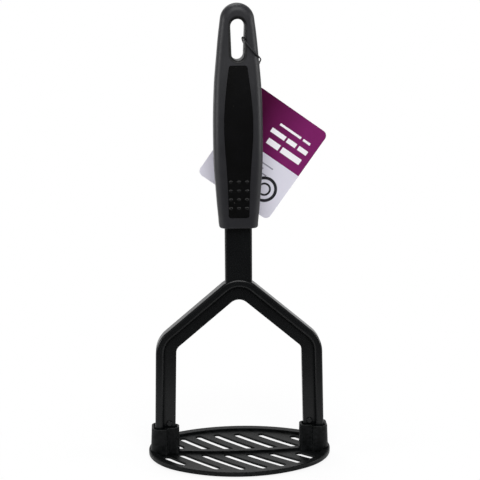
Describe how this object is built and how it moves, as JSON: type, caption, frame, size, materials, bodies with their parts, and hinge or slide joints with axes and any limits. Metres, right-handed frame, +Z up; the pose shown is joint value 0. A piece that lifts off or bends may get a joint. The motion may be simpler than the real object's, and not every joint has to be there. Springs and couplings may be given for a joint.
{
  "type": "potato masher",
  "caption": "Hand potato masher: an oval slotted nylon head on a house-shaped yoke, a soft-grip handle with a hanging slot, and a card tag on a string loop.",
  "frame": {"origin": "the middle of the underside of the head plate, on the surface it stands on", "axes": "+Z up along the handle, +X along the head's length, -Y towards the front, where the dotted grip faces"},
  "size_m": [0.1094, 0.0788, 0.2694],
  "materials": {
    "nylon_head": "moulded black nylon, faintly streaked along the bars",
    "nylon_frame": "moulded black nylon with a soft sheen",
    "handle_plastic": "finely textured charcoal plastic",
    "soft_grip": "smooth dark thermoplastic rubber",
    "printed_card": "coated printed card, purple over pale lilac grey",
    "black_cord": "thin black elastic cord"
  },
  "bodies": {
    "masher": {"head_plate": "nylon_head", "yoke_frame": "nylon_frame", "handle_body": "handle_plastic", "front_grip": "soft_grip", "rear_grip": "soft_grip", "tag_string": "black_cord"},
    "tag": {"hang_tag": "printed_card"}
  },
  "joints": [
    {"name": "tag_swing", "type": "hinge", "parent": "masher", "child": "tag", "pos_m": [0.0127, 0.01285, 0.213], "axis": [0, -1, 0], "range_deg": [-25, 25]}
  ]
}
